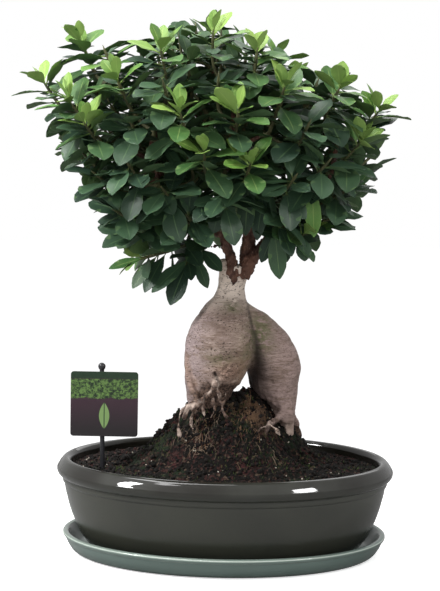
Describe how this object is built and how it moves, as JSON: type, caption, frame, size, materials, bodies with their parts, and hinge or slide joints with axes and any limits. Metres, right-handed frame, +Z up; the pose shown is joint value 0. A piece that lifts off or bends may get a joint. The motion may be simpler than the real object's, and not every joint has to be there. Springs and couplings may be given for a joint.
{
  "type": "ficus ginseng bonsai",
  "caption": "Ficus ginseng bonsai with a swollen root trunk and a dense leafy crown, in an oval glazed pot on a saucer.",
  "frame": {"origin": "centre of the saucer's flat underside, on the ground", "axes": "+Z up along the tree's height, +X to the viewer's right along the pot's length, -Y towards the front"},
  "size_m": [0.4079, 0.3317, 0.5629],
  "materials": {
    "saucer_glaze": "gloss",
    "pot_glaze": "gloss",
    "screen_plastic": "matte",
    "soil": "matte",
    "bark": "matte",
    "branch_bark": "matte",
    "stake_plastic": "satin",
    "card_plastic": "satin",
    "old_leaf": "gloss",
    "young_leaf": "gloss"
  },
  "bodies": {
    "root": {"saucer": "saucer_glaze", "pot": "pot_glaze", "drain_screen_left": "screen_plastic", "drain_screen_right": "screen_plastic", "soil": "soil", "trunk": "bark", "branches": "branch_bark", "label_stake": "stake_plastic", "label_card": "card_plastic", "spray_1": "old_leaf", "spray_2": "old_leaf", "spray_3": "old_leaf", "spray_4": "old_leaf", "spray_5": "old_leaf", "spray_6": "old_leaf", "spray_7": "old_leaf", "spray_8": "old_leaf", "spray_9": "old_leaf", "spray_10": "old_leaf", "spray_11": "old_leaf", "spray_12": "old_leaf", "spray_13": "old_leaf", "spray_14": "old_leaf", "spray_15": "old_leaf", "spray_16": "old_leaf", "spray_17": "old_leaf", "spray_18": "old_leaf", "spray_19": "old_leaf", "spray_20": "old_leaf", "spray_21": "old_leaf", "spray_22": "old_leaf", "spray_23": "old_leaf", "spray_24": "old_leaf", "spray_25": "old_leaf", "spray_26": "old_leaf", "spray_27": "old_leaf", "spray_28": "old_leaf", "spray_29": "old_leaf", "spray_30": "old_leaf", "young_tip_1": "young_leaf", "young_tip_2": "young_leaf", "young_tip_3": "young_leaf", "young_tip_4": "young_leaf", "young_tip_5": "young_leaf", "young_tip_6": "young_leaf", "young_tip_7": "young_leaf", "young_tip_8": "young_leaf", "young_tip_9": "young_leaf", "young_tip_10": "young_leaf", "young_tip_11": "young_leaf", "young_tip_12": "young_leaf", "young_tip_13": "young_leaf", "young_tip_14": "young_leaf", "young_tip_15": "young_leaf", "young_tip_16": "young_leaf", "young_tip_17": "young_leaf", "young_tip_18": "young_leaf", "young_tip_19": "young_leaf", "young_tip_20": "young_leaf", "young_tip_21": "young_leaf"}
  },
  "joints": []
}
